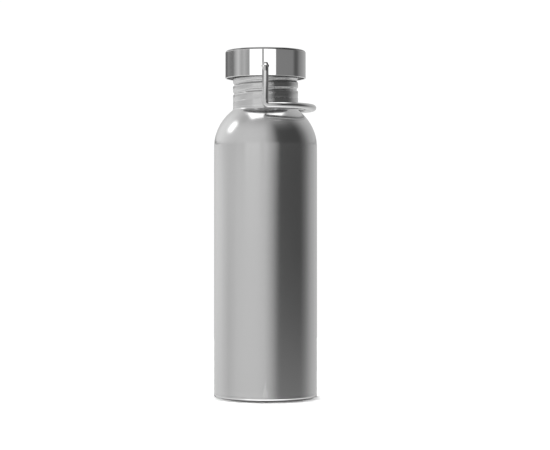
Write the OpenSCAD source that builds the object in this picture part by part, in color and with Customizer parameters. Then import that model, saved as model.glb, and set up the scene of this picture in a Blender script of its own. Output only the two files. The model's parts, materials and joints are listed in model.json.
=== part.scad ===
// Double-walled steel canteen with a threaded neck, a screw cap and a bent-wire bail.
// Millimetres, +Z up, origin at the centre of the face it stands on, bail loop towards +X.

/* [Body] */
// Outer diameter of the body
body_d = 73; // [60:0.5:90]
// Height of the straight side, up to where the shoulder starts
body_h = 175.2; // [100:0.2:240]
// Radius of the shoulder's arc in section
shoulder_r = 33.2; // [28:0.2:42]
// Thickness of the outer shell
shell_wall = 0.5; // [0.4:0.1:0.8]
// Thickness of the inner liner
liner_wall = 0.4; // [0.3:0.1:0.8]
// Width of the evacuated gap between shell and liner
vacuum_gap = 3.4; // [2.4:0.1:5]

/* [Neck] */
// Outer diameter of the neck
neck_d = 46.1; // [36:0.1:56]
// Height of the neck above the foot of its fillet
neck_h = 34.1; // [26:0.1:48]
// Thickness of the neck tube between its threads
neck_wall = 1.7; // [1.5:0.1:2.5]
// Width of the gap between the neck tube and the liner
neck_gap = 0.45; // [0.3:0.05:0.8]
// Radius of the fillet between shoulder and neck
neck_fillet = 2; // [1:0.1:4]

/* [Thread] */
// Rise of the thread in one turn
thread_pitch = 6.2; // [5:0.1:8]
// Depth of the thread's groove
thread_depth = 0.95; // [0.6:0.05:1.1]
// Width of the groove at its root
groove_root = 1.3; // [0.8:0.1:1.8]
// Clearance between the two threads, on every side
thread_gap = 0.25; // [0.2:0.05:0.4]
// Height of plain neck below the thread
neck_plain = 9.7; // [6:0.1:16]

/* [Base] */
// Height of the base cup's visible rim, below the shell's edge
base_rim_h = 2; // [1.6:0.1:4]
// Radius of the base's outer edge
base_edge = 0.8; // [0.6:0.1:1.5]
// Width of the ring that the canteen stands on, to the outside of the body
foot_w = 8.5; // [5:0.5:12]
// Height of the lap between base cup and shell
base_lap = 5; // [3:0.5:10]
// Thickness of the base disc
base_disc_t = 0.8; // [0.5:0.1:1]
// Height of the inner bottom above the surface that the canteen stands on
inner_bottom_z = 6.5; // [6:0.1:12]
// Radius of the inner bottom's corner
inner_corner = 6; // [4:0.5:10]

/* [Cap] */
// Distance from the neck's outer face to the cap's
cap_reach = 5.35; // [5:0.05:9]
// Height of the cap
cap_h = 19.6; // [18.5:0.1:25]
// Thickness of the cap's steel shell
cap_wall = 0.5; // [0.4:0.1:0.8]
// Radius of the cap's top edge
cap_edge = 1.4; // [0.8:0.1:2.5]
// Radius of the rolled hem at the cap's lower edge
hem_r = 0.5; // [0.5:0.05:0.8]
// Thickness of the core's web above the seal
web_t = 1.6; // [1.2:0.1:3]
// Thickness of the foam disc
foam_t = 2.2; // [1:0.1:6]
// Thickness of the seal ring
seal_t = 2; // [1.5:0.1:3]
// Width that the seal reaches past the neck's outer edge
seal_over = 1.5; // [1:0.1:2]
// Thickness of the steel disc inside the cap
inner_disc_t = 0.5; // [0.4:0.1:1]

/* [Bail] */
// Diameter of the bail's wire
wire_d = 4.5; // [3:0.1:5.5]
// Clearance between the cap's side and the bail's legs
leg_gap = 0.3; // [0.2:0.1:1.5]
// Height of the bail's pivot above the cap's lower edge
pivot_h = 6.7; // [6.2:0.1:8]
// Height of the loop's centreline above the neck's foot, with the bail at rest
loop_rise = 0.5; // [0.3:0.1:6]
// Radius on the inside of the elbow between pin and leg
elbow_inside = 0.55; // [0.4:0.05:1]
// Radius on the inside of the bend between leg and loop
bend_inside = 0.5; // [0.5:0.05:3]
// Thickness of the pivot bushes' wall
bush_wall = 1.3; // [0.9:0.05:1.5]
// Wall left between a pivot bush and the cap's bore
bush_floor = 1.1; // [0.8:0.1:1.3]

/* [Fits] */
// Clearance on the radius between the wire and its bush
pin_fit = 0.05; // [0.02:0.01:0.1]
// Clearance between bonded or pressed pieces
bond_gap = 0.05; // [0.02:0.01:0.1]
// Clearance between the seal's edge and its groove
seal_fit = 0.3; // [0.2:0.05:0.5]

/* [Hidden] */
$fn = 96;
past = 1;

// Body and shoulder
body_r = body_d / 2;
neck_r = neck_d / 2;
shoulder_c = body_r - shoulder_r;
arc_steps = 18;
bottom_side = 2;
liner_inset = shell_wall + vacuum_gap;
liner_r = body_r - liner_inset;
liner_neck_r = neck_r - neck_wall - neck_gap;
liner_fillet = 2 * neck_fillet;
liner_low_z = inner_bottom_z + inner_corner + bottom_side;
neck_foot_z = fillet_centre(shoulder_r, neck_r, neck_fillet).y;
collar_h = 1.1;
lip_gap = 0.1;
seam_z = neck_foot_z + collar_h;
lip_t = liner_wall;
lip_r = neck_r - thread_depth - lip_gap;
rim_z = neck_foot_z + neck_h + lip_t;

// Thread: a right-hand groove that starts behind the left side and runs out at the rim
turn = 360;
groove_start = -230;
groove_z = neck_foot_z + neck_plain;
groove_flank = 0.74;
groove_runout = 60;
ridge_runout = 25;
thread_step = 10;
thread_skin = 0.1;
thread_over = 0.5;

// Cap, stacked up from the rim
seal_z = rim_z;
web_z = seal_z + seal_t;
foam_z = web_z + web_t + bond_gap;
cap_top = foam_z + foam_t + bond_gap + cap_wall;
cap_z = cap_top - cap_h;
cap_r = neck_r + cap_reach;
core_z = cap_z + 2 * hem_r + bond_gap;
core_r = cap_r - cap_wall - bond_gap;
bore_r = neck_r + thread_gap;
seal_r = neck_r + seal_over;
seal_lip = 0.4;
inner_disc_r = liner_neck_r - liner_wall - seal_fit;
seal_inner_r = inner_disc_r + seal_fit;

// Bail
wire_r = wire_d / 2;
elbow_r = wire_r + elbow_inside;
loop_bend = wire_r + bend_inside;
leg_y = cap_r + leg_gap + wire_r;
pivot_z = cap_z + pivot_h;
loop_z = neck_foot_z + loop_rise;
bush_r = wire_r + pin_fit + bush_wall;
bush_y = bore_r + bush_floor;
bush_l = sqrt(pow(core_r, 2) - pow(bush_r, 2)) - bush_y;
pin_back = 0.5;
pin_end_y = bush_y + pin_back;
pin_chamfer = 0.4;

// Base
foot_r = body_r - foot_w;
recess_z = 2;
dimple_r = 5;
dimple_h = 1.4;
port_r = 0.8;
plug_gap = 0.4;
plug_r = dimple_r - plug_gap;
plug_t = 1.1;
getter_r = 5;
getter_t = 1.5;
foil_t = 0.2;
foil_gap = 0.1;
foil_low = 20;
foil_high = body_h - 6;

// Centre of the fillet between the shoulder's arc and the neck
function fillet_centre(arc, neck, fillet) =
    [neck + fillet, body_h + sqrt(pow(arc + fillet, 2) - pow(neck + fillet - shoulder_c, 2))];

// Points of an arc about a centre, from one angle to another, leaving out the first few
function arc(centre, r, from, to, skip = 0) =
    [for (i = [skip : arc_steps])
        let (a = from + (to - from) * i / arc_steps)
        centre + r * [cos(a), sin(a)]];

// Filled half-section of a vessel: straight side, shoulder arc, fillet and neck
module vessel_outline(side, neck, fillet, z_low, z_high) {
    shoulder = [shoulder_c, body_h];
    shoulder_arc = side - shoulder_c;
    foot = fillet_centre(shoulder_arc, neck, fillet);
    join = atan2(foot.y - shoulder.y, foot.x - shoulder.x);
    polygon(concat(
        [[0, z_low], [side, z_low]],
        arc(shoulder, shoulder_arc, 0, join),
        arc(foot, fillet, join + 180, 180, skip = 1),
        [[neck, z_high], [0, z_high]]));
}

// Filled half-section of a cup with a rounded corner, open end at z_open, closed end at z_closed
module cup_outline(side, corner, z_open, z_closed) {
    up = sign(z_closed - z_open);
    corner_z = z_closed - up * corner;
    translate([0, min(z_open, corner_z)]) square([side, abs(corner_z - z_open)]);
    translate([0, min(z_open, z_closed)]) square([side - corner, abs(z_closed - z_open)]);
    intersection() {
        translate([side - corner, corner_z]) circle(r = corner);
        translate([side - corner, min(corner_z, z_closed)]) square(corner);
    }
}

// Height of the thread's centreline at an angle, and the angle at a height
function thread_z(angle) = groove_z + thread_pitch * (angle - groove_start) / turn;
function thread_angle(z) = groove_start + turn * (z - groove_z) / thread_pitch;

// How far the thread's profile has come out of the surface, 0 to 1, near its two ends
function run_in(angle, low, high, runout) = min(1, (angle - low) / runout, (high - angle) / runout);

// How far the thread's profile is sunk below the surface where it has not come out
function thread_skin_for(depth) = min(thread_skin, depth / 2);

// Four corners of the thread's profile: tip at tip_r, back at back_r, sides on the flank's slope
function thread_ring(angle, tip_r, back_r, tip_w) =
    let (back_w = tip_w + 2 * groove_flank * abs(back_r - tip_r))
    [for (corner = [[tip_r, -tip_w], [back_r, -back_w], [back_r, back_w], [tip_r, tip_w]])
        [corner[0] * cos(angle), corner[0] * sin(angle), thread_z(angle) + corner[1] / 2]];

// Solid thread from angle low to high; base_r is the surface, height is measured inwards from it
module thread_sweep(low, high, base_r, height, back_r, tip_w, runout, fade_end) {
    steps = ceil((high - low) / thread_step);
    angles = [for (i = [0 : steps]) low + (high - low) * i / steps];
    fade_high = fade_end ? high : high + runout;
    rings = [for (angle = angles)
        let (k = run_in(angle, low, fade_high, runout))
        thread_ring(angle, base_r + thread_skin_for(back_r - base_r) * (1 - k) - height * k,
            back_r, tip_w)];
    sides = [for (i = [0 : steps - 1], j = [0 : 3])
        let (a = 4 * i + j, b = 4 * i + (j + 1) % 4)
        each [[a, b, a + 4], [b, b + 4, a + 4]]];
    ends = [[0, 3, 2], [0, 2, 1], [4 * steps, 4 * steps + 1, 4 * steps + 2],
        [4 * steps, 4 * steps + 2, 4 * steps + 3]];
    polyhedron(points = [for (ring = rings) each ring], faces = concat(sides, ends));
}

// Tube about the axis
module ring_solid(inner, outer, z_low, z_high) {
    difference() {
        translate([0, 0, z_low]) cylinder(r = outer, h = z_high - z_low);
        translate([0, 0, z_low - past]) cylinder(r = inner, h = z_high - z_low + 2 * past);
    }
}

// Drawn steel body, shoulder and short collar
module outer_shell() {
    color("silver")
    rotate_extrude() difference() {
        vessel_outline(body_r, neck_r, neck_fillet, base_rim_h, seam_z);
        vessel_outline(body_r - shell_wall, neck_r - shell_wall, neck_fillet + shell_wall,
            base_rim_h - past, seam_z + past);
    }
}

// Neck tube with a helical groove, butt-joined to the shell's collar
module neck() {
    color("silver")
    difference() {
        ring_solid(neck_r - neck_wall, neck_r, seam_z, rim_z - lip_t);
        thread_sweep(groove_start, thread_angle(rim_z + 2 * past), neck_r, thread_depth,
            neck_r + thread_over, groove_root, groove_runout, false);
    }
}

// Inner vessel with a lip that closes the neck's gap and forms the rim
module inner_liner() {
    color("gainsboro") {
        rotate_extrude() difference() {
            union() {
                vessel_outline(liner_r, liner_neck_r, liner_fillet, liner_low_z, rim_z);
                translate([0, rim_z - lip_t]) square([lip_r, lip_t]);
            }
            vessel_outline(liner_r - liner_wall, liner_neck_r - liner_wall,
                liner_fillet + liner_wall, liner_low_z - past, rim_z + past);
        }
    }
}

// Cup that closes the inner vessel
module inner_bottom() {
    color("gainsboro")
    rotate_extrude() difference() {
        cup_outline(liner_r, inner_corner, liner_low_z, inner_bottom_z);
        cup_outline(liner_r - liner_wall, inner_corner - liner_wall, liner_low_z + past,
            inner_bottom_z + liner_wall);
    }
}

// Reflective foil round the inner vessel
module foil_wrap() {
    color("peru")
    ring_solid(liner_r + foil_gap, liner_r + foil_gap + foil_t, foil_low, foil_high);
}

// Gas-absorbing pellet in the vacuum, under the inner bottom
module getter() {
    color("dimgray")
    translate([0, 0, inner_bottom_z - getter_t]) cylinder(r = getter_r, h = getter_t);
}

// Stamped base: rounded rim, standing ring, recess, and a dimple with the evacuation port
module base_cup() {
    plate_z = recess_z;
    dimple_z = plate_z + dimple_h;
    color("silver")
    rotate_extrude() {
        difference() {
            union() {
                translate([foot_r, 0]) square([foot_w - base_edge, shell_wall]);
                intersection() {
                    translate([body_r - base_edge, base_edge]) circle(r = base_edge);
                    translate([body_r - base_edge, 0]) square(base_edge);
                }
                translate([body_r - base_edge, base_edge])
                    square([base_edge, base_rim_h - base_edge]);
            }
            translate([body_r - shell_wall - base_edge, shell_wall])
                square([base_edge, base_rim_h]);
        }
        translate([body_r - 2 * shell_wall, shell_wall])
            square([shell_wall, base_rim_h + base_lap - shell_wall]);
        translate([foot_r, 0]) square([shell_wall, plate_z + shell_wall]);
        translate([dimple_r, plate_z]) square([foot_r - dimple_r, shell_wall]);
        translate([dimple_r, plate_z]) square([shell_wall, dimple_h + shell_wall]);
        translate([port_r, dimple_z]) square([dimple_r - port_r, shell_wall]);
    }
}

// Cover disc in the base's recess
module base_disc() {
    color("gray")
    translate([0, 0, recess_z - base_disc_t]) cylinder(r = foot_r - bond_gap, h = base_disc_t);
}

// Pellet that seals the evacuation port
module vacuum_plug() {
    color("saddlebrown")
    translate([0, 0, recess_z + dimple_h - plug_t]) cylinder(r = plug_r, h = plug_t);
}

// Silicone ring between the rim and the cap
module seal_ring() {
    color("whitesmoke")
    ring_solid(seal_inner_r, seal_r, seal_z, seal_z + seal_t);
}

// Drawn steel cap with a rolled hem and two holes for the bail
module cap_shell() {
    color("lightgray")
    difference() {
        rotate_extrude() {
            difference() {
                cup_outline(cap_r, cap_edge, cap_z + hem_r, cap_top);
                cup_outline(cap_r - cap_wall, cap_edge - cap_wall, cap_z, cap_top - cap_wall);
            }
            translate([cap_r - hem_r, cap_z + hem_r]) circle(r = hem_r);
        }
        translate([0, 0, pivot_z]) rotate([90, 0, 0])
            cylinder(r = wire_r + 2 * pin_fit, h = 2 * (cap_r + past), center = true);
    }
}

// Moulded core with the inner thread, the seal's groove and the sockets of the pivot bushes
module cap_core() {
    ridge_half = groove_root / 2 + groove_flank * (thread_depth + thread_gap) - thread_gap;
    ridge_low = thread_angle(core_z + ridge_half);
    ridge_high = thread_angle(seal_z - seal_lip - ridge_half);
    tip_w = groove_root + 2 * groove_flank * thread_gap - 2 * thread_gap;
    color("darkslategray") {
        difference() {
            translate([0, 0, core_z]) cylinder(r = core_r, h = web_z + web_t - core_z);
            translate([0, 0, core_z - past]) cylinder(r = bore_r, h = seal_z - core_z + past);
            translate([0, 0, seal_z - seal_lip])
                cylinder(r = seal_r + seal_fit, h = seal_t + seal_lip);
            for (side = [-1, 1])
                translate([0, side * (bush_y - bond_gap), pivot_z]) rotate([-side * 90, 0, 0])
                    cylinder(r = bush_r + bond_gap, h = cap_r);
        }
        thread_sweep(ridge_low, ridge_high, bore_r, thread_depth, bore_r + thread_over,
            tip_w, ridge_runout, true);
    }
}

// Foam disc between the core and the cap's top
module cap_foam() {
    color("khaki")
    translate([0, 0, foam_z]) cylinder(r = cap_r - cap_edge - cap_wall, h = foam_t);
}

// Steel disc that faces the drink
module inner_disc() {
    color("gainsboro")
    translate([0, 0, web_z - inner_disc_t]) cylinder(r = inner_disc_r, h = inner_disc_t);
}

// Bush behind the cap's skirt; side is -1 for the near one and 1 for the far one
module pivot_bush(side) {
    color("ivory")
    translate([0, side * bush_y, pivot_z]) rotate([-side * 90, 0, 0]) difference() {
        cylinder(r = bush_r, h = bush_l);
        translate([0, 0, -past]) cylinder(r = wire_r + pin_fit, h = bush_l + 2 * past);
    }
}

module pivot_bush_near() {
    pivot_bush(-1);
}

module pivot_bush_far() {
    pivot_bush(1);
}

// Round wire bent through an angle about the Z axis, starting on +X
module wire_bend(bend_r, angle) {
    rotate_extrude(angle = angle) translate([bend_r, 0]) circle(r = wire_r);
}

// Half of the bail on the far side: pin, elbow, leg and bend
module bail_side() {
    translate([0, pin_end_y, pivot_z]) rotate([-90, 0, 0]) {
        cylinder(r1 = wire_r - pin_chamfer, r2 = wire_r, h = pin_chamfer);
        translate([0, 0, pin_chamfer])
            cylinder(r = wire_r, h = leg_y - elbow_r - pin_end_y - pin_chamfer);
    }
    translate([0, leg_y - elbow_r, pivot_z - elbow_r]) rotate([90, 0, 90])
        wire_bend(elbow_r, 90);
    translate([0, leg_y, loop_z + loop_bend])
        cylinder(r = wire_r, h = pivot_z - elbow_r - loop_z - loop_bend);
    translate([loop_bend, leg_y, loop_z + loop_bend]) rotate([90, 180, 0])
        wire_bend(loop_bend, 90);
}

// One wire: two pins, elbows, legs and bends, joined by a half-round loop
module bail() {
    color("silver") {
        bail_side();
        mirror([0, 1, 0]) bail_side();
        translate([loop_bend, 0, loop_z]) rotate([0, 0, -90]) wire_bend(leg_y, 180);
    }
}

outer_shell();
neck();
inner_liner();
inner_bottom();
foil_wrap();
getter();
base_cup();
base_disc();
vacuum_plug();
seal_ring();
cap_shell();
cap_core();
cap_foam();
inner_disc();
pivot_bush_near();
pivot_bush_far();
bail();
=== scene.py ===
"""Looks of a double-walled steel canteen with a screw cap and a bent-wire bail, around its CAD frame."""

import json
import math

import bmesh
import bpy
from mathutils import Matrix, Vector


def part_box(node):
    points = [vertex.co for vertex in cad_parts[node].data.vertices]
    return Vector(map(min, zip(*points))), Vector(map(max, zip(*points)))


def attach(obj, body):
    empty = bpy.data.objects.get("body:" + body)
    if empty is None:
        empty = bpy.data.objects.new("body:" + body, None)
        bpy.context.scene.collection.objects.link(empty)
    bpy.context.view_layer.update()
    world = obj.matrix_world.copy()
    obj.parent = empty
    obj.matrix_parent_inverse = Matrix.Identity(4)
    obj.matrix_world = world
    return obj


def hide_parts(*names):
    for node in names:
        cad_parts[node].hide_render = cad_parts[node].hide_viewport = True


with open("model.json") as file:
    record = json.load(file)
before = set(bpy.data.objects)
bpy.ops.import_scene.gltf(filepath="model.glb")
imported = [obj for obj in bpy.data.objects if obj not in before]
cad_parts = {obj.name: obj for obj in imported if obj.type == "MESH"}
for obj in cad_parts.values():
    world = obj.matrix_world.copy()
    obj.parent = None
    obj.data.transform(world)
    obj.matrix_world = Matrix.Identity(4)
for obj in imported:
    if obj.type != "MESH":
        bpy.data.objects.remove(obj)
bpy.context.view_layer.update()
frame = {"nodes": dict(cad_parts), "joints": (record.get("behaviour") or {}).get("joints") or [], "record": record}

MM = 0.001
TURN = 2 * math.pi
TINY = 1e-6
# An edge that bends by more than this many degrees stays crisp
SHARP = 38


# ---------------------------------------------------------------- sizes, in millimetres

def low(node):
    """Lowest x, y and z of a CAD node."""
    return [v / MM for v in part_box(node)[0]]


def high(node):
    """Highest x, y and z of a CAD node."""
    return [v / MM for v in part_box(node)[1]]


BODY_R = high("outer_shell")[0]
NECK_R = high("neck")[0]
CAP_R = high("cap_shell")[0]
CORE_R = high("cap_core")[0]
LINER_R = high("inner_liner")[0]
SEAL_R = high("seal_ring")[0]
DISC_R = high("inner_disc")[0]
FOOT_R = high("base_disc")[0]

SEAM_LOW = low("outer_shell")[2]
SEAM_HIGH = high("outer_shell")[2]
LINER_LOW = low("inner_liner")[2]
RIM = high("inner_liner")[2]
NECK_TOP = high("neck")[2]
CAP_LOW = low("cap_shell")[2]
CAP_TOP = high("cap_shell")[2]
CORE_LOW = low("cap_core")[2]
CORE_TOP = high("cap_core")[2]
BOTTOM_LOW = low("inner_bottom")[2]
BAIL_LOW = low("bail")[2]

SHELL_WALL = 0.5
LINER_WALL = 0.4
SEAM_BEVEL = 0.12
SHOULDER_ARC = 33.2
SHOULDER_Z = 175.2
SHOULDER_R = BODY_R - SHOULDER_ARC
# Degrees by which the shoulder is bent in where it leaves the straight side
SHOULDER_BEND = 3.0
NECK_FILLET = 2.0
NECK_FOOT = SHOULDER_Z + math.sqrt((SHOULDER_ARC + NECK_FILLET) ** 2
                                   - (NECK_R + NECK_FILLET - SHOULDER_R) ** 2)
NECK_BORE = NECK_R - 1.7
LINER_NECK_R = NECK_BORE - 0.45
LIP_R = NECK_R - 1.05
THREAD_DEPTH = 0.95
THREAD_GAP = 0.25
THREAD_START = NECK_FOOT + 9.7
THREAD_ANGLE = math.radians(-230)
THREAD_RUN_OUT = math.radians(70)
GROOVE_HALF_WIDTH = 1.45
CROWN = 0.16
RIDGE_HALF_WIDTH = 1.15
RIDGE_FLANK = 0.65
CAP_WALL = 0.5
CAP_EDGE = 1.4
HEM_R = 0.5
PIN_FIT = 0.05

joints = {j["name"]: j for j in frame["joints"]}
PIVOT_Z = joints["bail_swing"]["pos_m"][2] / MM
WIRE_R = high("bail")[2] - PIVOT_Z
LEG_Y = high("bail")[1] - WIRE_R
PITCH = frame["record"]["behaviour"]["couplings"][0]["ratio"] * TURN / MM


# ---------------------------------------------------------------- mesh tools

def arc(centre_r, centre_z, radius, start, end, steps=16, skip=0):
    """Points (r, z) along an arc, from one angle in degrees to another."""
    points = []
    for i in range(skip, steps + 1):
        a = math.radians(start + (end - start) * i / steps)
        points.append((centre_r + radius * math.cos(a), centre_z + radius * math.sin(a)))
    return points


def line(start, end, steps):
    """Points along a straight line, without its end."""
    return [(start[0] + (end[0] - start[0]) * i / steps, start[1] + (end[1] - start[1]) * i / steps)
            for i in range(steps)]


def finish_mesh(name, bm, sharp=SHARP):
    """A smooth-shaded object from a bmesh, with edges sharper than an angle kept crisp."""
    bmesh.ops.remove_doubles(bm, verts=bm.verts, dist=1e-7)
    bmesh.ops.recalc_face_normals(bm, faces=bm.faces)
    for face in bm.faces:
        face.smooth = True
    for edge in bm.edges:
        edge.smooth = edge.calc_face_angle(0) < math.radians(sharp)
    mesh = bpy.data.meshes.new(name)
    bm.to_mesh(mesh)
    bm.free()
    piece = bpy.data.objects.new(name, mesh)
    bpy.context.collection.objects.link(piece)
    return piece


def support(outline, near=0.04):
    """Adds a point just before a long flat part meets a soft bend, so that flat faces shade flat."""
    least_bend = 0.3
    least_flat = 6 * near
    points = []
    for i, here in enumerate(outline):
        before, after = outline[i - 1], outline[(i + 1) % len(outline)]
        back, on = math.dist(here, before), math.dist(here, after)
        if min(back, on) < TINY:
            continue
        bent = (math.atan2(after[1] - here[1], after[0] - here[0])
                - math.atan2(here[1] - before[1], here[0] - before[0]))
        bent = abs(math.degrees((bent + math.pi) % TURN - math.pi))
        soft = least_bend < bent < SHARP
        if soft and back > max(least_flat, 2 * on):
            points.append(tuple(h + (b - h) * near / back for h, b in zip(here, before)))
        points.append(here)
        if soft and on > max(least_flat, 2 * back):
            points.append(tuple(h + (a - h) * near / on for h, a in zip(here, after)))
    return points


def lathe(name, outline, segments=192, shape=None):
    """Turns a closed outline of (r, z) points about the axis. shape(r, z, angle) may move a point."""
    bm = bmesh.new()
    outline = outline if shape else support(outline)
    rings = []
    for r, z in outline:
        if r < TINY:
            rings.append([bm.verts.new((0, 0, z * MM))] * segments)
            continue
        ring = []
        for s in range(segments):
            a = TURN * s / segments
            rr, zz = shape(r, z, a) if shape else (r, z)
            ring.append(bm.verts.new((rr * MM * math.cos(a), rr * MM * math.sin(a), zz * MM)))
        rings.append(ring)
    for i, ring in enumerate(rings):
        after = rings[(i + 1) % len(rings)]
        for s in range(segments):
            t = (s + 1) % segments
            corners = []
            for vert in (ring[s], ring[t], after[t], after[s]):
                if vert not in corners:
                    corners.append(vert)
            if len(corners) > 2:
                bm.faces.new(corners)
    return finish_mesh(name, bm)


def cut(piece, cutters):
    """Takes closed meshes out of a piece, and deletes them."""
    for cutter in cutters:
        step = piece.modifiers.new("cut", "BOOLEAN")
        step.operation = "DIFFERENCE"
        step.solver = "EXACT"
        step.object = cutter
    graph = bpy.context.evaluated_depsgraph_get()
    mesh = bpy.data.meshes.new_from_object(piece.evaluated_get(graph))
    piece.modifiers.clear()
    piece.data = mesh
    for cutter in cutters:
        bpy.data.objects.remove(cutter)


def rod(name, radius, start, end, segments=64):
    """A closed round bar between two points, in millimetres."""
    start, end = Vector(start) * MM, Vector(end) * MM
    bm = bmesh.new()
    turned = (end - start).to_track_quat("Z", "Y").to_matrix().to_4x4()
    bmesh.ops.create_cone(bm, cap_ends=True, segments=segments, radius1=radius * MM,
                          radius2=radius * MM, depth=(end - start).length,
                          matrix=Matrix.Translation((start + end) / 2) @ turned)
    return finish_mesh(name, bm)


def tube(name, path, radius, segments=40):
    """Sweeps a circle along a path of points, with a rounded edge at both ends."""
    edge = 0.4
    bm = bmesh.new()
    points = [Vector(p) * MM for p in path]
    tangents = []
    for i in range(len(points)):
        before, after = points[max(i - 1, 0)], points[min(i + 1, len(points) - 1)]
        tangents.append((after - before).normalized())
    side = tangents[0].orthogonal().normalized()
    rings = []

    def add_ring(centre, tangent, size):
        nonlocal side
        side = (side - tangent * side.dot(tangent)).normalized()
        up = tangent.cross(side)
        rings.append([bm.verts.new(centre + size * MM * (math.cos(TURN * s / segments) * side
                                                         + math.sin(TURN * s / segments) * up))
                      for s in range(segments)])

    def add_end(end, tangent, inwards):
        """Rings of one rounded end, from the full circle outwards."""
        for rounded in (0, 25, 50, 75):
            a = math.radians(rounded)
            add_ring(end + tangent * (inwards * edge * MM * (1 - math.sin(a))), tangent,
                     radius - edge * (1 - math.cos(a)))

    add_end(points[0], tangents[0], 1)
    rings.reverse()
    for point, tangent in zip(points[1:-1], tangents[1:-1]):
        add_ring(point, tangent, radius)
    add_end(points[-1], tangents[-1], -1)
    for ring, after in zip(rings, rings[1:]):
        for s in range(segments):
            t = (s + 1) % segments
            bm.faces.new((ring[s], ring[t], after[t], after[s]))
    bm.faces.new(rings[0])
    bm.faces.new(rings[-1])
    return finish_mesh(name, bm, sharp=50)


# ---------------------------------------------------------------- vessel outlines

def vessel_side(inset, neck, fillet, bottom, top):
    """One wall line of the vessel, bottom to top: side, shoulder arc, fillet and neck."""
    side, shoulder = BODY_R - inset, SHOULDER_ARC - inset
    bent, past_bend = SHOULDER_BEND, SHOULDER_BEND + 0.1
    foot_r = neck + fillet
    foot_z = SHOULDER_Z + math.sqrt((shoulder + fillet) ** 2 - (foot_r - SHOULDER_R) ** 2)
    join = math.degrees(math.atan2(foot_z - SHOULDER_Z, foot_r - SHOULDER_R))
    return (line((side, bottom), (side, SHOULDER_Z), 24)
            + arc(SHOULDER_R, SHOULDER_Z, shoulder, bent, past_bend, 1)
            + arc(SHOULDER_R, SHOULDER_Z, shoulder, past_bend, join, 40, skip=1)
            + arc(foot_r, foot_z, fillet, join + 180, 180, 14, skip=1)
            + [(neck, top)])


def nearest_turn(z, angle):
    """Turns passed since the thread's start, at the turn nearest to a point."""
    turns = (angle - THREAD_ANGLE) / TURN
    return turns + round((z - THREAD_START) / PITCH - turns)


def thread_drop(z, angle):
    """How far below the crest the neck's surface lies, 0 to 1: a narrow groove, crowned ridges."""
    passed = nearest_turn(z, angle)
    while passed < 0:
        passed += 1
    offset = z - THREAD_START - passed * PITCH
    if abs(offset) > PITCH:
        return 0.0
    fade = min(1.0, passed * TURN / THREAD_RUN_OUT)
    near = min(1.0, abs(offset) / GROOVE_HALF_WIDTH)
    groove = (0.5 + 0.5 * math.cos(math.pi * near)) ** 0.8
    crown = CROWN * min(1.0, abs(abs(offset) - PITCH / 2) / (PITCH / 2)) ** 2
    return fade * min(1.0, groove + crown)


def core_ridge(z, angle):
    """How far the cap's inner thread stands out of its bore, 0 to 1."""
    first, last, run_out = CORE_LOW + 1.2, RIM - 1.7, 0.5
    offset = z - THREAD_START - nearest_turn(z, angle) * PITCH
    centre = z - offset
    fade = min(1.0, max(0.0, (centre - first) / run_out), max(0.0, (last - centre) / run_out))
    return fade * max(0.0, min(1.0, (RIDGE_HALF_WIDTH - abs(offset)) / RIDGE_FLANK))


# ---------------------------------------------------------------- materials

def feed(tree, value, socket):
    """Links a node's output to a socket, or sets the socket to a plain value."""
    if isinstance(value, bpy.types.NodeSocket):
        tree.links.new(value, socket)
    else:
        socket.default_value = value


def material(name, colour, metallic, roughness):
    """A Principled material, and a function that adds a node to it."""
    made = bpy.data.materials.new(name)
    made.use_nodes = True
    tree = made.node_tree
    shader = tree.nodes["Principled BSDF"]
    shader.inputs["Base Color"].default_value = (*colour, 1)
    shader.inputs["Metallic"].default_value = metallic
    shader.inputs["Roughness"].default_value = roughness

    def add(kind, inputs=None, **settings):
        node = tree.nodes.new(kind)
        for key, value in settings.items():
            setattr(node, key, value)
        for key, value in (inputs or {}).items():
            feed(tree, value, node.inputs[key])
        return node

    return made, shader, tree, add


def spread(add, source, low_value, high_value, low_in=0.3, high_in=0.7):
    """Maps a noise value between two levels."""
    return add("ShaderNodeMapRange", {"Value": source, "From Min": low_in, "From Max": high_in,
                                      "To Min": low_value, "To Max": high_value}).outputs["Result"]


def noise(add, scale, detail, roughness=0.5):
    """Fractal noise, stretched by a scale on each axis of the object."""
    place = add("ShaderNodeTexCoord").outputs["Object"]
    spot = add("ShaderNodeMapping", {"Vector": place, "Scale": scale}).outputs["Vector"]
    return add("ShaderNodeTexNoise", {"Vector": spot, "Scale": 1.0, "Detail": detail,
                                      "Roughness": roughness}).outputs["Fac"]


def calc(add, operation, *values, clamp=False):
    """The result of a sum on plain values or outputs."""
    return add("ShaderNodeMath", dict(enumerate(values)), operation=operation,
               use_clamp=clamp).outputs[0]


def painted_rim_reflection(add, radius, height, tone):
    """A painted dark reflection: a factor of tone above a height and outside a radius in millimetres, and 1
    elsewhere.
    """
    blur = 0.1
    x, y, z = add("ShaderNodeSeparateXYZ", {0: add("ShaderNodeTexCoord").outputs["Object"]}).outputs
    from_axis = calc(add, "SQRT", calc(add, "ADD", calc(add, "MULTIPLY", x, x),
                                       calc(add, "MULTIPLY", y, y)))
    outside = spread(add, from_axis, 0.0, 1.0, (radius - blur) * MM, (radius + blur) * MM)
    above = spread(add, z, 0.0, 1.0, (height - blur) * MM, (height + blur) * MM)
    return calc(add, "MULTIPLY_ADD", calc(add, "MULTIPLY", outside, above), tone - 1, 1.0)


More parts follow.
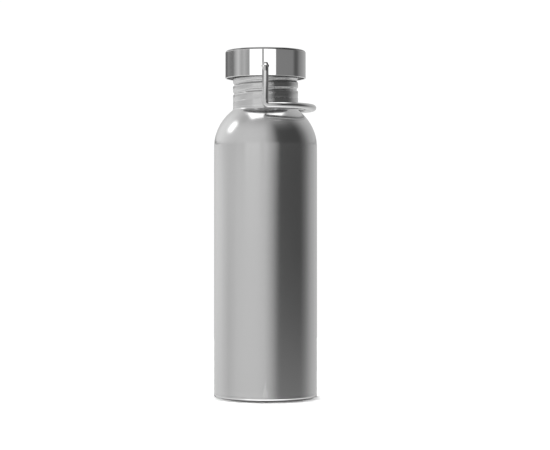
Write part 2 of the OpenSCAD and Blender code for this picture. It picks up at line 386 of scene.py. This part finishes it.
def steel(name, tone, roughness, grain, grain_scale=(1500, 1500, 1500), edge_wear=0.12,
          variation=0.03, bump=0.02, cloud=0.25, rim=None):
    """Steel with fine grain, slow changes of tone and gloss, and brighter, smoother worn edges.

    rim is (radius, height, tone), a painted dark reflection: above and outside these the steel is darker by the
    tone."""
    grain_tone = 0.4 * grain
    worn_from, worn_to, worn_gloss = 0.53, 0.60, 0.25
    made, shader, tree, add = material(name, (tone, tone, tone), 1, roughness)
    fine = noise(add, grain_scale, 3.0, 0.6)
    slow = noise(add, (22, 22, 14), 2.0)
    edges = add("ShaderNodeNewGeometry").outputs["Pointiness"]
    worn = spread(add, edges, 0.0, 1.0, worn_from, worn_to)
    clouded = spread(add, slow, tone * (1 - variation), tone * (1 + variation))
    grained = calc(add, "MULTIPLY", clouded, spread(add, fine, 1 - grain_tone, 1 + grain_tone))
    bright = calc(add, "MULTIPLY_ADD", worn, edge_wear, grained, clamp=True)
    # Painted dark reflection round an edge, as a darker tone in the steel's colour
    if rim:
        bright = calc(add, "MULTIPLY", bright, painted_rim_reflection(add, *rim))
    colour = add("ShaderNodeCombineColor", {"Red": bright, "Green": bright, "Blue": bright})
    tree.links.new(colour.outputs["Color"], shader.inputs["Base Color"])
    rough = spread(add, slow, roughness * (1 - cloud * 0.5), roughness * (1 + cloud * 0.5))
    rough = calc(add, "MULTIPLY_ADD", fine, grain * roughness, rough)
    rough = calc(add, "MULTIPLY_ADD", worn, -worn_gloss * roughness, rough, clamp=True)
    tree.links.new(rough, shader.inputs["Roughness"])
    relief = add("ShaderNodeBump", {"Height": fine, "Strength": bump, "Distance": 0.0002})
    tree.links.new(relief.outputs["Normal"], shader.inputs["Normal"])
    return made


def soft_material(name, colour, roughness, scale, bump, variation=0.08, metallic=0.0,
                  subsurface=0.0):
    """A moulded, foamed, rolled or fused surface: mottled tone, uneven gloss and fine relief."""
    made, shader, tree, add = material(name, colour, metallic, roughness)
    mottle = noise(add, (scale, scale, scale), 4.0)
    ramp = add("ShaderNodeValToRGB", {"Fac": mottle})
    for stop, factor, place_on_ramp in ((0, 1 - variation, 0.3), (1, 1 + variation, 0.7)):
        ramp.color_ramp.elements[stop].position = place_on_ramp
        ramp.color_ramp.elements[stop].color = (*(min(1, c * factor) for c in colour), 1)
    tree.links.new(ramp.outputs["Color"], shader.inputs["Base Color"])
    tree.links.new(spread(add, mottle, roughness * 0.85, min(1, roughness * 1.15)),
                   shader.inputs["Roughness"])
    relief = add("ShaderNodeBump", {"Height": mottle, "Strength": bump, "Distance": 0.0003})
    tree.links.new(relief.outputs["Normal"], shader.inputs["Normal"])
    shader.inputs["Subsurface Weight"].default_value = subsurface
    return made


SATIN = steel("steel_satin_mat", 0.60, 0.18, 0.08, variation=0.012, bump=0.008, cloud=0.06,
              edge_wear=0.06)
INNER = steel("steel_inner_mat", 0.58, 0.30, 0.16, grain_scale=(500, 500, 500), variation=0.05)
# The cap's top edge gets a painted dark reflection: its tone falls to 0.22 there
POLISHED = steel("steel_polished_mat", 0.86, 0.035, 0.03, edge_wear=0.05, variation=0.01,
                 bump=0.002, cloud=0.3, rim=(CAP_R - 1.6, CAP_TOP - 1.25, 0.22))
WIRE = steel("steel_wire_mat", 0.60, 0.06, 0.06, grain_scale=(700, 700, 700), bump=0.01)
COPPER = soft_material("copper_foil_mat", (0.80, 0.42, 0.27), 0.28, 300, 0.35, metallic=1.0)
GETTER = soft_material("getter_mat", (0.24, 0.24, 0.25), 0.7, 2500, 0.6, metallic=0.6)
GLASS = soft_material("sealing_glass_mat", (0.20, 0.11, 0.05), 0.18, 500, 0.15)
SILICONE = soft_material("silicone_mat", (0.78, 0.78, 0.75), 0.5, 700, 0.08, subsurface=0.15)
PLASTIC = soft_material("core_plastic_mat", (0.05, 0.05, 0.052), 0.42, 1400, 0.18)
FOAM = soft_material("foam_mat", (0.72, 0.69, 0.60), 0.9, 900, 0.9, variation=0.18)
ACETAL = soft_material("acetal_mat", (0.76, 0.74, 0.68), 0.4, 1100, 0.1)


def dress(piece, mat):
    """Gives a piece its one material."""
    piece.data.materials.clear()
    piece.data.materials.append(mat)


def place(piece, body, node, slot, mat):
    """Puts a remade piece on its body, in place of its CAD node."""
    dress(piece, mat)
    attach(piece, body)
    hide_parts(node)


# ---------------------------------------------------------------- bottle

def make_shell():
    """Outer shell: satin body and shoulder, with a fine seam line above the base."""
    outer = vessel_side(0, NECK_R, NECK_FILLET, SEAM_LOW + SEAM_BEVEL, SEAM_HIGH)
    inner = vessel_side(SHELL_WALL, NECK_R - SHELL_WALL, NECK_FILLET + SHELL_WALL,
                        SEAM_LOW, SEAM_HIGH)
    outline = [(BODY_R - SEAM_BEVEL, SEAM_LOW)] + outer + inner[::-1]
    place(lathe("shell_skin", outline), "bottle", "outer_shell", "steel_satin", SATIN)


def make_neck():
    """Neck with its rolled thread, a true helix that runs out into the plain neck below."""
    lead = 0.5
    outline = (line((NECK_R, SEAM_HIGH), (NECK_R, NECK_TOP), 150)
               + [(NECK_R, NECK_TOP), (NECK_BORE, NECK_TOP), (NECK_BORE, SEAM_HIGH)])

    def shape(r, z, angle):
        if r < NECK_R - 0.01:
            return r, z
        drop = THREAD_DEPTH * thread_drop(z, angle)
        edge = max(0.0, z - (NECK_TOP - lead))
        return r - max(drop, lead - math.sqrt(max(0.0, lead ** 2 - edge ** 2))), z

    place(lathe("neck_skin", outline, segments=288, shape=shape), "bottle", "neck",
          "steel_satin", SATIN)


def make_liner():
    """Inner vessel with a rounded lip at the rim."""
    fillet = 2 * NECK_FILLET
    lip = LINER_WALL / 2
    outer = vessel_side(BODY_R - LINER_R, LINER_NECK_R, fillet, LINER_LOW, NECK_TOP)
    inner = vessel_side(BODY_R - LINER_R + LINER_WALL, LINER_NECK_R - LINER_WALL,
                        fillet + LINER_WALL, LINER_LOW, RIM - lip)
    lip_line = ([(LIP_R - lip, NECK_TOP)] + arc(LIP_R - lip, NECK_TOP + lip, lip, -90, 90, 8, skip=1)
                + arc(LINER_NECK_R - LINER_WALL + lip, RIM - lip, lip, 90, 180, 6))
    outline = outer + lip_line + inner[::-1]
    place(lathe("liner_skin", outline, segments=128), "bottle", "inner_liner", "steel_inner", INNER)


def swell(r, ring_r, ring_width, ring_height):
    """Height at r of a soft ring pressed into a flat face."""
    return ring_height * math.exp(-((r - ring_r) / ring_width) ** 2)


def make_inner_bottom():
    """Dished cup that closes the inner vessel, with one shallow stiffening ring."""
    corner = 6.0
    ring_r, ring_width, ring_height = 20.0, 2.0, 0.5

    def dish(offset):
        floor = BOTTOM_LOW + offset
        points = [(0, floor)]
        for i in range(1, 30):
            r = (LINER_R - corner) * i / 30
            points.append((r, floor + swell(r, ring_r, ring_width, ring_height)))
        return (points + arc(LINER_R - corner, BOTTOM_LOW + corner, corner - offset, -90, 0, 14)
                + [(LINER_R - offset, LINER_LOW)])

    outline = dish(0) + dish(LINER_WALL)[::-1]
    place(lathe("inner_bottom_skin", outline, segments=128), "bottle", "inner_bottom",
          "steel_inner", INNER)


def make_foil():
    """Thin foil with fine creases all round."""
    inside = LINER_R + 0.1
    outside = inside + 0.17
    crease = 0.02
    foot, top = low("foil_wrap")[2], high("foil_wrap")[2]
    rows = 60
    outline = (line((outside, foot), (outside, top), rows) + [(outside, top)]
               + line((inside, top), (inside, foot), rows) + [(inside, foot)])

    def shape(r, z, angle):
        wave = math.sin(9 * angle + z * 0.35) * math.sin(5 * angle - z * 0.21)
        return r + crease * (wave + 0.5), z

    place(lathe("foil_skin", outline, segments=160, shape=shape), "bottle", "foil_wrap",
          "copper_foil", COPPER)


def make_base():
    """Stamped base: slanted rim, standing ring, recess and the dimple of the evacuation port."""
    wall = SHELL_WALL
    rim_in, rim_up, slant, tight = 0.71, 0.84, -38, 0.25
    foot, soft = FOOT_R + 0.05, 0.4
    plate, lap = high("base_disc")[2], high("base_cup")[2]
    dimple, dimple_z, port = 5.0, plate + 1.4, 0.8
    ring_flat = foot + soft + 0.3
    under = ([(port, dimple_z), (dimple, dimple_z), (dimple, plate), (foot - soft, plate)]
             + arc(foot - soft, plate - soft, soft, 90, 0, 6)
             + arc(foot + soft, soft, soft, 180, 270, 6)
             + line((ring_flat, 0), (BODY_R - rim_in, 0), 6)
             + arc(BODY_R - rim_in, tight, tight, -90, slant, 6)
             + arc(BODY_R - tight, rim_up, tight, slant, 0, 6)
             + [(BODY_R, SEAM_LOW - SEAM_BEVEL), (BODY_R - SEAM_BEVEL, SEAM_LOW),
                (BODY_R - wall, SEAM_LOW)])
    over = ([(BODY_R - wall, lap), (BODY_R - 2 * wall, lap)]
            + arc(BODY_R - 2 * wall - soft, wall + soft, soft, 0, -90, 8)
            + [(foot + wall, wall + soft), (foot + wall, plate + wall), (dimple + wall, plate + wall),
               (dimple + wall, dimple_z + wall), (port, dimple_z + wall)])
    place(lathe("base_skin", under + over), "bottle", "base_cup", "steel_satin", SATIN)


def make_base_disc():
    """Cover disc with two spun rings, fine ripples and a rounded edge."""
    bottom, top = low("base_disc")[2], high("base_disc")[2]
    soft = 0.25
    ring_width, ring_depth, ripple = 0.8, 0.18, 0.02
    face = [(0, bottom)]
    for i in range(1, 120):
        r = (FOOT_R - 1) * i / 120
        in_ring = any(start < r < start + ring_width for start in (14, 23))
        face.append((r, bottom + ring_depth * in_ring + ripple * (1 + math.sin(r * 6))))
    outline = (face + arc(FOOT_R - soft, bottom + soft, soft, -90, 0, 8)
               + [(FOOT_R, top), (0, top)])
    place(lathe("base_disc_skin", outline, segments=160), "bottle", "base_disc", "steel_satin",
          SATIN)


# ---------------------------------------------------------------- cap

def make_cap_shell():
    """Drawn, mirror-polished cap with a rounded top edge, a rolled hem and two pivot holes."""
    inner_edge = CAP_EDGE - CAP_WALL
    side_top, hem_z = CAP_TOP - CAP_EDGE, CAP_LOW + HEM_R
    tight = 0.22
    outline = (line((0, CAP_TOP), (CAP_R - CAP_EDGE, CAP_TOP), 20)
               + arc(CAP_R - CAP_EDGE, side_top, CAP_EDGE, 90, 0, 18)
               + line((CAP_R, side_top - 0.5), (CAP_R, hem_z + 0.3), 12)
               + arc(CAP_R - tight, CAP_LOW + tight, tight, 0, -90, 8)
               + arc(CAP_R - 2 * HEM_R + tight, CAP_LOW + tight, tight, -90, -180, 6)
               + arc(CAP_R - HEM_R, hem_z, HEM_R, 180, 85, 8, skip=1)
               + [(CAP_R - CAP_WALL, hem_z + 0.8)]
               + arc(CAP_R - CAP_EDGE, side_top, inner_edge, 0, 90, 8)
               + [(0, CAP_TOP - CAP_WALL)])
    piece = lathe("cap_skin", outline, segments=256)
    beyond, within = CAP_R + 5, CORE_R - 3
    cut(piece, [rod("hole", WIRE_R + PIN_FIT, (0, start, PIVOT_Z), (0, end, PIVOT_Z))
                for start, end in ((-beyond, -within), (within, beyond))])
    place(piece, "cap", "cap_shell", "steel_polished", POLISHED)


def make_core():
    """Moulded core: inner thread, seal groove, bush sockets, and a rounded lower edge."""
    bore = NECK_R + THREAD_GAP
    groove_r, groove_low, web = SEAL_R + 0.3, RIM - 0.4, low("seal_ring")[2] + 2.0
    soft = 0.35
    outline = (line((bore, CORE_LOW + soft), (bore, groove_low), 110)
               + [(bore, groove_low), (groove_r, groove_low), (groove_r, web), (0, web),
                  (0, CORE_TOP), (CORE_R, CORE_TOP)]
               + arc(CORE_R - soft, CORE_LOW + soft, soft, 0, -90, 6)
               + arc(bore + soft, CORE_LOW + soft, soft, -90, -180, 6)[:-1])

    def shape(r, z, angle):
        if abs(r - bore) > 0.001:
            return r, z
        return r - THREAD_DEPTH * core_ridge(z, angle), z

    piece = lathe("core_skin", outline, segments=216, shape=shape)
    bush_r = (high("pivot_bush_far")[0] - low("pivot_bush_far")[0]) / 2
    start = low("pivot_bush_far")[1] - PIN_FIT
    cut(piece, [rod("socket", bush_r + PIN_FIT, (0, side * start, PIVOT_Z),
                    (0, side * (CORE_R + 5), PIVOT_Z)) for side in (-1, 1)])
    place(piece, "cap", "cap_core", "core_plastic", PLASTIC)


def make_seal():
    """Flat silicone ring with rounded edges."""
    inside, outside = DISC_R + 0.3, SEAL_R
    bottom, top = low("seal_ring")[2], high("seal_ring")[2]
    soft = 0.45
    outline = (arc(outside - soft, bottom + soft, soft, -90, 0, 8)
               + arc(outside - soft, top - soft, soft, 0, 90, 8)
               + arc(inside + soft, top - soft, soft, 90, 180, 8)
               + arc(inside + soft, bottom + soft, soft, 180, 270, 8))
    place(lathe("seal_skin", outline, segments=144), "seal", "seal_ring", "silicone", SILICONE)


def make_inner_disc():
    """Steel disc inside the cap, with a shallow pressed ring and a rounded edge."""
    bottom, top = low("inner_disc")[2], high("inner_disc")[2]
    soft = 0.2
    ring_r, ring_width, ring_height = 13.0, 0.9, 0.15
    face = [(0, bottom)]
    for i in range(1, 60):
        r = (DISC_R - 0.6) * i / 60
        face.append((r, bottom + swell(r, ring_r, ring_width, ring_height)))
    outline = (face + arc(DISC_R - soft, bottom + soft, soft, -90, 0, 6)
               + [(DISC_R, top), (0, top)])
    place(lathe("inner_disc_skin", outline, segments=128), "cap", "inner_disc", "steel_inner", INNER)


# ---------------------------------------------------------------- bail

def bend(centre, radius, start, end, first, second, steps=14):
    """Points of a bend about a centre, in the plane of two unit vectors."""
    return [Vector(centre) + radius * (math.cos(math.radians(a)) * Vector(first)
                                       + math.sin(math.radians(a)) * Vector(second))
            for a in [start + (end - start) * i / steps for i in range(steps + 1)]]


def make_bail():
    """One round wire: pins into the cap, elbows, legs, bends and a half-round loop."""
    elbow = WIRE_R + 0.55
    corner = high("bail")[0] - LEG_Y - WIRE_R
    loop_z = BAIL_LOW + WIRE_R
    leg_top, leg_foot = PIVOT_Z - elbow, loop_z + corner
    pin_end = low("pivot_bush_far")[1] + 0.5
    x, y, z = Vector((1, 0, 0)), Vector((0, 1, 0)), Vector((0, 0, 1))
    half = [Vector((0, pin_end + along, PIVOT_Z)) for along in (0, 0.8, 2)]
    half += bend((0, LEG_Y - elbow, leg_top), elbow, 90, 0, y, z)
    half += [Vector((0, LEG_Y, leg_top + (leg_foot - leg_top) * i / 12)) for i in range(1, 12)]
    half += bend((corner, LEG_Y, leg_foot), corner, 180, 270, x, z)
    loop = bend((corner, 0, loop_z), LEG_Y, 90, -90, x, y, 96)[1:-1]
    other = [Vector((p.x, -p.y, p.z)) for p in reversed(half)]
    place(tube("bail_skin", half + loop + other, WIRE_R), "bail", "bail", "steel_wire", WIRE)


# ---------------------------------------------------------------- all pieces

make_shell()
make_neck()
make_liner()
make_inner_bottom()
make_foil()
make_base()
make_base_disc()
make_cap_shell()
make_core()
make_seal()
make_inner_disc()
make_bail()

for node_name, node_mat in (("getter", GETTER), ("vacuum_plug", GLASS), ("cap_foam", FOAM),
                            ("pivot_bush_near", ACETAL), ("pivot_bush_far", ACETAL)):
    dress(frame["nodes"][node_name], node_mat)


# ---------------------------------------------------------------- floor, studio light and camera

def degrees(*stops):
    """Stops given by compass angle in degrees, as fractions of half a turn."""
    return [(angle / 180, level) for angle, level in stops]


FLOOR_R = 0.6
BACKGROUND_LEVEL = 1.3
FLOOR_TONE = [(-1, 3.0), (-0.80, 2.8), (-0.64, 1.4), (-0.30, 1.3), (-0.14, 0.95), (1, 0.95)]
BODY_RING = degrees((-180, 0.85), (-150, 1.02), (-138, 1.06), (-117, 1.02), (-90, 0.78), (-66, 1.02),
                    (-45, 1.05), (-20, 1.04), (-2, 0.96), (13, 0.62), (30, 0.11), (85, 0.10),
                    (100, 0.28), (121, 0.66), (143, 0.82), (160, 0.80), (180, 0.85))
CAP_RING = degrees((-180, 0.40), (-162, 0.28), (-150, 0.12), (-134, 0.10), (-118, 0.03), (-106, 0.02),
                   (-99, 0.20), (-84, 0.57), (-73, 0.47), (-63, 0.58), (-52, 0.43), (-46.5, 0.43),
                   (-45, 1.7), (-9.6, 1.7), (-9.0, 0.33), (-4.6, 0.33), (-4.0, 1.7), (29, 1.7),
                   (31, 0.28), (84, 0.27), (94, 0.12), (103, 0.13), (114, 0.28), (130, 0.40),
                   (157, 0.56), (180, 0.45))
# Height of the band of panels that the cap's side reflects, and its half widths, in degrees
CAP_BAND = (5.6, 0.68, 0.8)
HIGH_TONE = 0.62
HIGH_BAND = [(-1, 0), (0.40, 0), (0.52, 0.15), (0.66, 0.55), (0.78, 1), (1, 1)]
FLOOR_BAND = [(-1, 1), (-0.50, 1), (-0.30, 0.55), (-0.10, 0.5), (-0.035, 0), (1, 0)]
# Compass angle, height, half width, half height and edge softness in degrees, and brightness
SOFTBOXES = [(0, 94, 24, 16.5, 1.5, 2.5), (-100, 35, 7, 8.5, 4, 2.6), (-112, 22, 30, 20, 14, 0.28)]
# Place of the camera and of the point that the lamps face, in metres
CAMERA_PLACE = (0.0067, -1.174, 0.1206)
LAMP_AIM = (0, 0, 0.12)


def make_floor():
    """A plain, pale, round floor."""
    bm = bmesh.new()
    bmesh.ops.create_circle(bm, cap_ends=True, segments=96, radius=FLOOR_R)
    floor = finish_mesh("floor", bm)
    made, shader = material("floor_mat", (0.94, 0.94, 0.94), 0, 0.9)[:2]
    shader.inputs["Specular IOR Level"].default_value = 0.0
    floor.data.materials.append(made)
    floor.visible_glossy = False


def make_world():
    """A studio of light and dark panels, set by compass angle and height, on a white background."""
    world = bpy.data.worlds.new("studio")
    bpy.context.scene.world = world
    world.use_nodes = True
    world.cycles_visibility.diffuse = False
    tree = world.node_tree
    nodes, links = tree.nodes, tree.links
    nodes.clear()

    def math_node(kind, *values):
        node = nodes.new("ShaderNodeMath")
        node.operation = kind
        for value, socket in zip(values, node.inputs):
            feed(tree, value, socket)
        return node.outputs[0]

    way = nodes.new("ShaderNodeTexCoord").outputs["Generated"]
    split = nodes.new("ShaderNodeSeparateXYZ")
    links.new(way, split.inputs[0])
    x, y, z = split.outputs
    # Compass angle: 0 behind the camera, +0.5 to its right (+X), -0.5 to its left, 1 at the back
    compass = math_node("DIVIDE", math_node("ARCTAN2", x, math_node("MULTIPLY", y, -1)), math.pi)
    height = math_node("DIVIDE", math_node("ARCSINE", z), math.pi / 2)

    def ramp(value, stops):
        """Brightness along a value from -1 to 1, in straight lines between stops of (value, brightness)."""
        node = nodes.new("ShaderNodeValToRGB")
        half_range = math_node("ADD", math_node("MULTIPLY", value, 0.5), 0.5)
        links.new(half_range, node.inputs[0])
        stops = sorted(stops)
        elements = node.color_ramp.elements
        while len(elements) < len(stops):
            elements.new(0.5)
        for element, (at, level) in zip(elements, stops):
            element.position = at * 0.5 + 0.5
            element.color = (level, level, level, 1)
        return node.outputs[0]

    def mix(mask, a, b):
        """a where the mask is 0, b where it is 1."""
        node = nodes.new("ShaderNodeMix")
        node.data_type = "FLOAT"
        for value, socket in ((mask, 0), (a, 2), (b, 3)):
            feed(tree, value, node.inputs[socket])
        return node.outputs[0]

    def band(value, inside, outside):
        """1 where the value is nearer to 0 than inside, 0 beyond outside, smooth between."""
        node = nodes.new("ShaderNodeMapRange")
        node.interpolation_type = "SMOOTHSTEP"
        links.new(math_node("ABSOLUTE", value), node.inputs["Value"])
        node.inputs["From Min"].default_value = outside
        node.inputs["From Max"].default_value = inside
        return node.outputs[0]

    def along(direction):
        """How far the ray points along a direction."""
        node = nodes.new("ShaderNodeVectorMath")
        node.operation = "DOT_PRODUCT"
        links.new(way, node.inputs[0])
        node.inputs[1].default_value = direction
        return node.outputs["Value"]

    def softbox(angle, lift, half_width, half_height, edge, level):
        """A soft bright panel at a compass angle and height, sizes in degrees."""
        a, b = math.radians(angle), math.radians(lift)
        centre = Vector((math.sin(a) * math.cos(b), -math.cos(a) * math.cos(b), math.sin(b)))
        side = Vector((math.cos(a), math.sin(a), 0))
        up = side.cross(centre) * -1
        least = 0.3
        front = math_node("GREATER_THAN", along(centre), least)
        across = [math_node("DIVIDE", along(axis), math_node("MAXIMUM", along(centre), least))
                  for axis in (side, up)]
        parts = [band(value, math.tan(math.radians(size - edge)), math.tan(math.radians(size + edge)))
                 for value, size in zip(across, (half_width, half_height))]
        mask = math_node("MULTIPLY", front, math_node("MULTIPLY", parts[0], parts[1]))
        return math_node("MULTIPLY", mask, level)

    around = ramp(compass, BODY_RING)
    cap_ring = ramp(compass, CAP_RING)
    middle, inside, outside = (angle / 90 for angle in CAP_BAND)
    lit = mix(band(math_node("SUBTRACT", height, middle), inside, outside), around, cap_ring)
    lit = mix(ramp(height, HIGH_BAND), lit, HIGH_TONE)
    lit = mix(ramp(height, FLOOR_BAND), lit, ramp(height, FLOOR_TONE))
    for panel in SOFTBOXES:
        lit = math_node("ADD", lit, softbox(*panel))
    background = nodes.new("ShaderNodeBackground")
    links.new(lit, background.inputs["Strength"])
    white = nodes.new("ShaderNodeBackground")
    white.inputs["Strength"].default_value = BACKGROUND_LEVEL
    path = nodes.new("ShaderNodeLightPath")
    choose = nodes.new("ShaderNodeMixShader")
    links.new(path.outputs["Is Camera Ray"], choose.inputs[0])
    links.new(background.outputs[0], choose.inputs[1])
    links.new(white.outputs[0], choose.inputs[2])
    out = nodes.new("ShaderNodeOutputWorld")
    links.new(choose.outputs[0], out.inputs["Surface"])


def make_camera():
    """Level camera, at the photograph's height, distance and lens."""
    data = bpy.data.cameras.new("camera")
    data.sensor_width = 36
    data.lens = 108.5
    data.clip_start, data.clip_end = 0.05, 60
    camera = bpy.data.objects.new("camera", data)
    bpy.context.collection.objects.link(camera)
    camera.location = CAMERA_PLACE
    camera.rotation_euler = (math.pi / 2, 0, 0)
    bpy.context.scene.camera = camera


def make_lamp(name, kind, location, power, size):
    """A soft light that faces the canteen, and shows in no reflection."""
    data = bpy.data.lights.new(name, kind)
    data.energy = power
    if kind == "SUN":
        data.angle = math.radians(size)
    else:
        data.size = size
    lamp = bpy.data.objects.new(name, data)
    bpy.context.collection.objects.link(lamp)
    lamp.location = location
    lamp.rotation_euler = (Vector(LAMP_AIM) - Vector(location)).to_track_quat("-Z", "Y").to_euler()
    lamp.visible_glossy = False


make_floor()
make_world()
make_camera()
make_lamp("overhead_lamp", "SUN", (-0.007, 0.105, 1.12), 5.0, 6)
make_lamp("left_fill", "AREA", (-1.2, -1.5, 0.6), 1.6, 1)
make_lamp("right_fill", "AREA", (1.3, -1.4, 0.6), 1.2, 1)
make_lamp("back_fill", "AREA", (0.2, 1.8, 0.7), 1.6, 1)
bpy.context.scene.view_settings.view_transform = "Standard"
